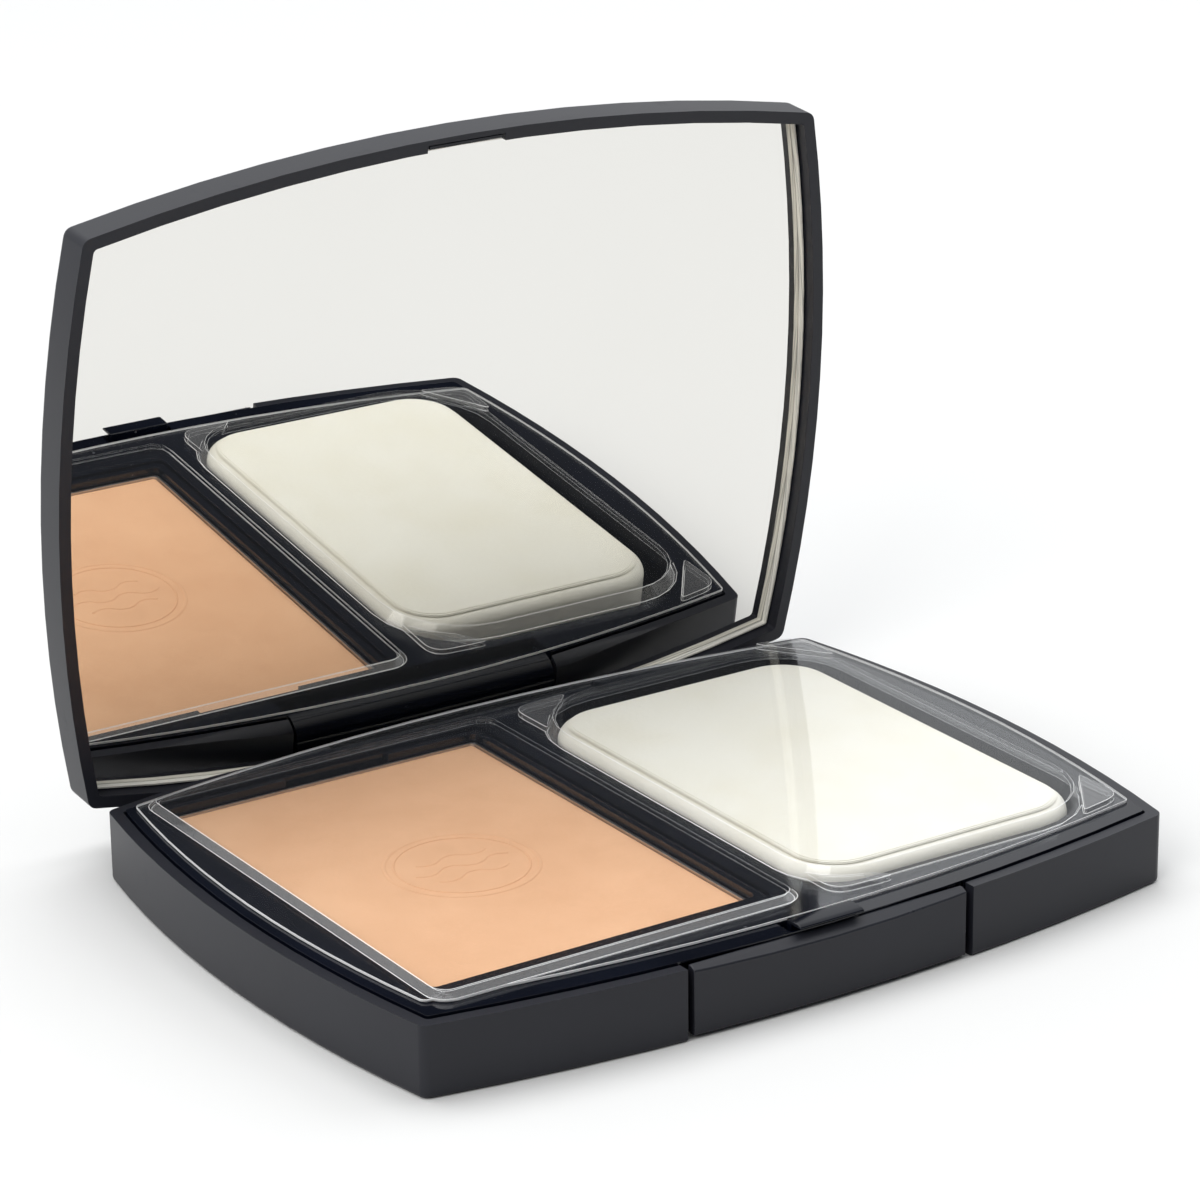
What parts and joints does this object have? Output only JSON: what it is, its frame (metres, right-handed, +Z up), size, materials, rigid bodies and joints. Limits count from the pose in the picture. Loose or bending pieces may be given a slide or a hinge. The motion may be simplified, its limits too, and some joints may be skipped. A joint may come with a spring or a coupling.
{
  "type": "powder compact",
  "caption": "Flat bowed rectangular case with a hinged mirror lid, a front push button, a pan of pressed powder, a sponge and a clear inner cover.",
  "frame": {"origin": "centre of the flat underside of the base", "axes": "+Z up, +X along the case's length to the right as seen from the button, +Y from the button to the hinge"},
  "size_m": [0.0984, 0.0789, 0.0763],
  "materials": {
    "satin_black": "fine satin black moulded plastic",
    "gloss_black": "polished blue-black moulded plastic",
    "label_paper": "blank grey label",
    "pin_steel": "drawn steel wire",
    "spring_steel": "thin spring strip",
    "adhesive_tape": "double-sided tape",
    "pan_aluminium": "drawn aluminium",
    "powder": "fine pressed powder, warm beige",
    "sponge_foam": "fine-celled cream sponge",
    "clear_sheet": "thin clear moulded plastic sheet",
    "mirror_glass": "silvered glass with ground edges"
  },
  "bodies": {
    "base": {"base_shell": "satin_black", "inner_tray": "gloss_black", "base_label": "label_paper", "hinge_pin_right": "pin_steel", "hinge_pin_left": "pin_steel", "refill_frame": "gloss_black", "pan_adhesive": "adhesive_tape", "powder_pan": "pan_aluminium", "pressed_powder": "powder", "sponge": "sponge_foam", "clear_cover": "clear_sheet"},
    "button": {"push_button": "satin_black", "latch_slide": "gloss_black", "button_spring_right": "spring_steel", "button_spring_left": "spring_steel"},
    "lid": {"lid_shell": "satin_black", "lid_catch": "gloss_black", "mirror_glass": "mirror_glass", "mirror_tape_right": "adhesive_tape", "mirror_tape_left": "adhesive_tape"}
  },
  "joints": [
    {"name": "lid_hinge", "type": "hinge", "parent": "base", "child": "lid", "pos_m": [0, 0.0339, 0.005], "axis": [-1, 0, 0], "range_deg": [-85, 10]},
    {"name": "button_press", "type": "slide", "parent": "base", "child": "button", "axis": [0, 1, 0], "range_m": [0, 0.0008], "stiffness_N_per_m": 400, "deforming": ["button_spring_right", "button_spring_left"]}
  ]
}
